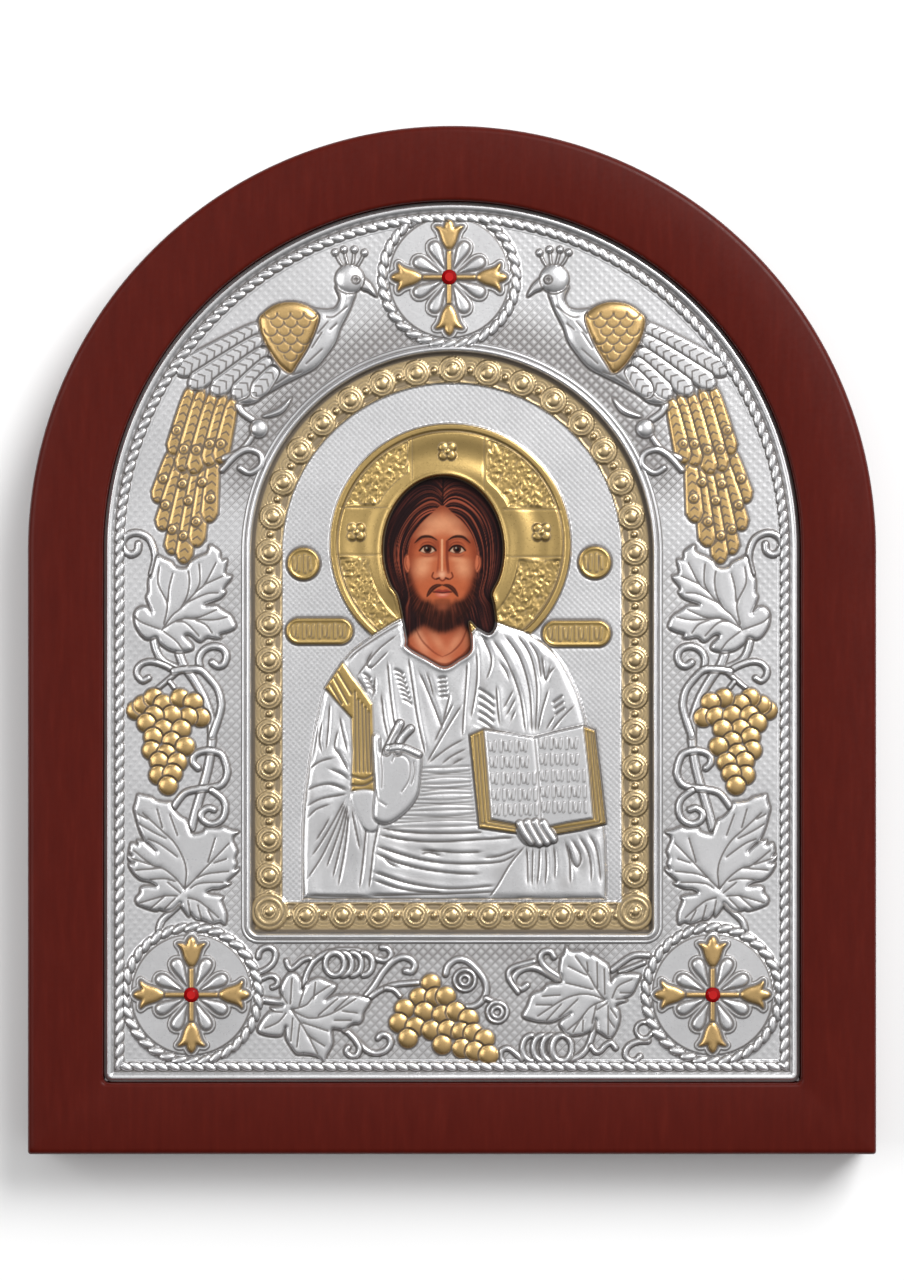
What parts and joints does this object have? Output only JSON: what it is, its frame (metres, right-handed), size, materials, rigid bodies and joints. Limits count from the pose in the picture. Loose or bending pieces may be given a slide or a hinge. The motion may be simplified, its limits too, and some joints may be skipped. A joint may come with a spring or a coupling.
{
  "type": "icon panel",
  "caption": "Arched wooden frame around an embossed silver and gilt relief of vines, birds and a robed figure, with a painted head and red stones.",
  "frame": {"origin": "centre of the overall box at the level of the flat back, which the panel lies on", "axes": "+Z out of the decorated face, +Y up the panel towards the arch, +X to the right of someone facing it"},
  "size_m": [0.2118, 0.2568, 0.018],
  "materials": {
    "wood": "satin",
    "board": "matte",
    "silver": "satin",
    "gilt": "satin",
    "painting": "satin",
    "red_stone": "gloss"
  },
  "bodies": {
    "root": {"wooden_frame": "wood", "back_board": "board", "silver_border": "silver", "icon_cover": "silver", "painted_panel": "painting", "red_stone_top": "red_stone", "red_stone_left": "red_stone", "red_stone_right": "red_stone"}
  },
  "joints": []
}
